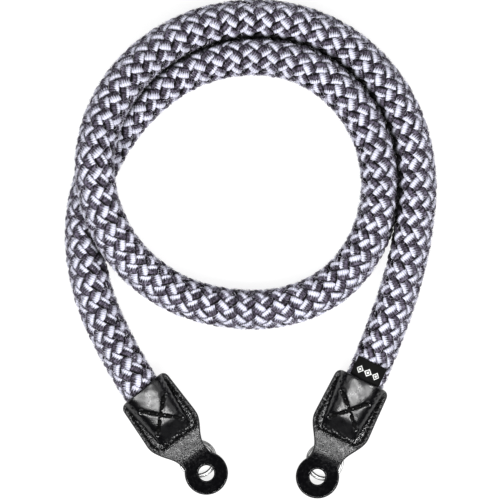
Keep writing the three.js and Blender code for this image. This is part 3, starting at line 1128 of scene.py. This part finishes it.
def ring_body(name):
    """Two turns of flat wire, the lower one stepping up into the upper one."""
    wire_height = RING_HEIGHT / 2 - 0.04
    middle = RING_RADIUS - RING_BAND / 2
    turns = np.linspace(0.0, RING_TURNS, 320)
    rise = smoothstep(turns, 0.93, 1.03)
    z = wire_height / 2 + rise * (wire_height + 0.06)
    angle = TURN * (turns + 0.31)
    corner = np.linspace(TURN, 0, 20, endpoint=False)
    squared = circle(corner)
    squared = np.sign(squared) * np.abs(squared) ** 0.8
    out, up = (RING_BAND / 2 - RING_STEP) * squared[:, 0], wire_height / 2 * squared[:, 1]
    taper = np.clip(np.minimum(turns, RING_TURNS - turns) / 0.004, 0.35, 1)[:, None]
    radius = middle + RING_STEP * (1 - 2 * rise[:, None]) + out[None] * taper
    x, y = radius * np.cos(angle)[:, None], radius * np.sin(angle)[:, None]
    height = z[:, None] + up[None] * taper
    tilt = math.asin(RING_LIFT / (2 * RING_RADIUS))
    end = ENDS[name]
    s = x * math.cos(tilt) - height * math.sin(tilt) + RING_CENTRE
    lifted = x * math.sin(tilt) + height * math.cos(tilt) + RING_LIFT / 2
    here, after = np.cos(corner), np.roll(np.cos(corner), -1)
    band = np.zeros((len(turns) - 1, len(corner), 4, 2))
    band[..., 0] = stacked(here, after, after, here)
    band = np.vstack([band.reshape(-1, 2), np.zeros((2 * len(corner), 2))])
    body = Body()
    body.loft(to_world(stacked(s, y + end["ring_side"], lifted), end), {"band": band})
    return body


def label_body(rope):
    """A ribbon that follows the rope's top where it comes out of the right pocket."""
    end = ENDS["right"]
    s = PATCH_TOP - GAP + np.linspace(0, LABEL_LENGTH, 45)
    v = np.linspace(-LABEL_WIDTH / 2, LABEL_WIDTH / 2, 61)
    near_side = smoothstep(LABEL_WIDTH / 2 - np.abs(v), 0, 0.3)
    near_end = smoothstep(np.minimum(s - s[0], s[-1] - s), 0, 0.35)
    thick = LABEL_THICKNESS * (0.35 + 0.65 * near_end[:, None] * near_side[None])
    flat = stacked(*np.meshgrid(s, v + LABEL_SIDE, indexing="ij")).reshape(-1, 2)
    over = to_world(np.column_stack([flat, np.zeros(len(flat))]), end)
    line = rope.spots[-200:]
    away = np.linalg.norm(over[:, None, :2] - line[None, :, :2], axis=2)
    off, axis = away.min(1), line[away.argmin(1), 2]
    layers = []
    for share in (1, 0):
        radius = LABEL_RADIUS + share * thick.ravel()
        over[:, 2] = axis + np.sqrt(radius**2 - off**2)
        layers.append(press_into_pocket(over, end))
    across = LABEL_RADIUS * np.arcsin(v / LABEL_RADIUS)
    size = thick.size
    index = np.arange(size).reshape(thick.shape)
    quads = stacked(index[:-1, :-1], index[:-1, 1:], index[1:, 1:], index[1:, :-1]).reshape(-1, 4)
    rim = np.concatenate([index[0, :-1], index[:-1, -1], index[-1, :0:-1], index[:0:-1, 0]])
    after = np.roll(rim, -1)
    walls = stacked(rim, after, after + size, rim + size)
    faces = np.vstack([quads[:, ::-1], quads + size, walls])
    flat = stacked(*np.meshgrid(s - s.mean(), across, indexing="ij")).reshape(-1, 2)
    flat = np.vstack([flat, flat])[:, ::-1]
    body = Body()
    body.add(np.vstack(layers), faces.tolist(), {"weave": flat[faces.ravel()]})
    return body


# -------- studio


def add_floor():
    mesh = bpy.data.meshes.new("floor")
    reach = 8.0
    corners = [(x * reach, y * reach, 0) for x, y in ((-1, -1), (1, -1), (1, 1), (-1, 1))]
    mesh.from_pydata(corners, [], [(0, 1, 2, 3)])
    mesh.materials.append(floor_material().material)
    put_in_scene("floor", mesh)


def add_softbox(name, place, width, depth, radiance):
    """A softbox that faces the middle of the floor. Its radiance doesn't depend on its size."""
    light = bpy.data.lights.new(name, "AREA")
    light.shape = "RECTANGLE"
    light.size, light.size_y = width, depth
    light.energy = radiance * math.pi * width * depth
    lamp = put_in_scene(name, light)
    lamp.location = place
    lamp.rotation_euler = (-Vector(place)).to_track_quat("-Z", "Y").to_euler()


def add_studio():
    add_floor()
    for name, side in (("left", -1), ("right", 1)):
        add_softbox(f"near_{name}_box", (side * 0.74, -0.89, 1.8), 1.35, 0.46, 22.8)
        add_softbox(f"{name}_box", (side * 1.9, 0.3, 1.3), 1.4, 0.9, 2.0)
    add_softbox("far_box", (0.0, 1.8, 1.5), 2.6, 1.0, 3.0)
    world = bpy.data.worlds.new("studio")
    world.use_nodes = True
    background = world.node_tree.nodes["Background"]
    background.inputs[0].default_value = grey(1.0)
    background.inputs[1].default_value = 0.03
    scene.world = world
    scene.view_settings.view_transform = "Standard"
    scene.view_settings.gamma = 0.82


def add_camera():
    """Straight down on the strap from far off, the frame 245.5 mm wide at the rope's middle height."""
    width, distance, height = 0.2455, 6.0, 0.009
    data = bpy.data.cameras.new("camera")
    data.sensor_width = 36
    data.lens = data.sensor_width * distance / width
    data.clip_end = 50
    camera = put_in_scene("camera", data)
    camera.location = (-0.00025, -0.00037, distance + height)
    scene.camera = camera


# -------- assembly


def add_rope(rope):
    strands = []
    for turn in (1, -1):
        yarn = yarn_material(YARNS_MEET[turn])
        for number in range(CARRIERS):
            name = f"braid_strand_{len(strands) + 1:02d}"
            strands.append(strand_body(rope, turn, number).build(name, yarn, "braid_yarn"))
    core = core_body(rope).build("rope_core", core_material(), "braid_yarn")
    fuzz = fuzz_body(rope).build("rope_fuzz", fuzz_material(), "braid_yarn")
    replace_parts(strands[0], "braided_rope")


def add_end(name, leather, thread, steel):
    front, surface = front_body(name)
    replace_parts(front.build(f"{name}_front_hide", leather, "black_leather"), f"{name}_front_leather")
    back = back_body(name).build(f"{name}_back_hide", leather, "black_leather")
    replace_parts(back, f"{name}_back_leather")
    stitching_body(name, surface).build(f"{name}_stitching", thread, "black_textile")
    ring = ring_body(name).build(f"{name}_ring_wire", steel, "bright_steel")
    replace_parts(ring, f"{name}_split_ring")


rope = Rope()
add_camera()
add_rope(rope)
leather, thread, steel = leather_material(), thread_material(), steel_material()
for name in ENDS:
    add_end(name, leather, thread, steel)
label = label_body(rope).build("label_ribbon", label_material(), "black_textile")
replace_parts(label, "woven_label")
add_studio()
